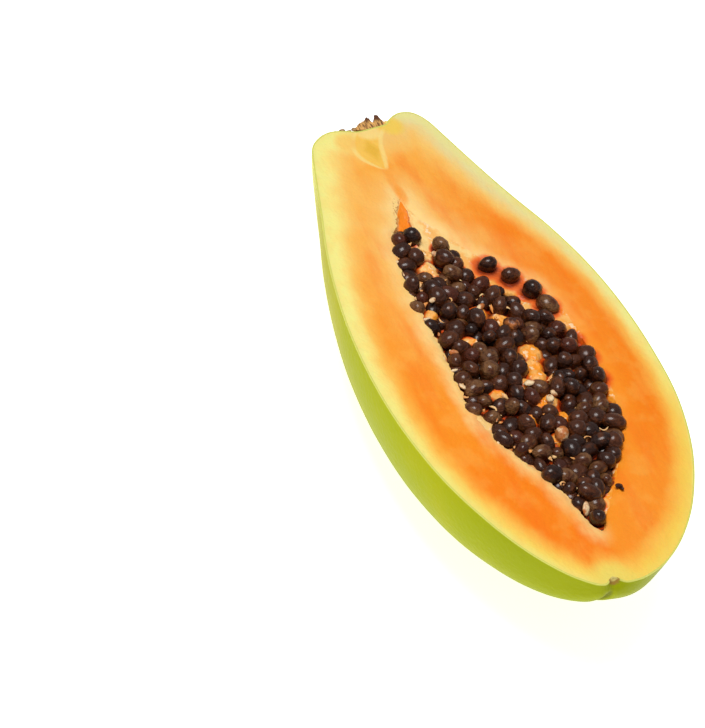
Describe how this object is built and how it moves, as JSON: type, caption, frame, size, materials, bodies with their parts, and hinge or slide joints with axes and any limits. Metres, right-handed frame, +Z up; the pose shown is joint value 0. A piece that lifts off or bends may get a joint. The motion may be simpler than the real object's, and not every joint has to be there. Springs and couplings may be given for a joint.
{
  "type": "half papaya",
  "caption": "Half a papaya cut lengthwise, lying on its ridged green skin: orange flesh, a seed cavity heaped with dark round seeds, and a brown stub of stem.",
  "frame": {"origin": "under the middle of the half's bounding box, on the surface that it rests on", "axes": "+X from the stem end to the blossom end, +Z up and square to the cut face, +Y across the cut face"},
  "size_m": [0.2, 0.096, 0.0475],
  "materials": {
    "flesh": "moist",
    "skin": "waxy",
    "seed": "wet jelly coat",
    "stem": "dry and torn"
  },
  "bodies": {
    "root": {"half_fruit": "flesh", "seeds": "seed", "stem_stub": "stem"}
  },
  "joints": []
}
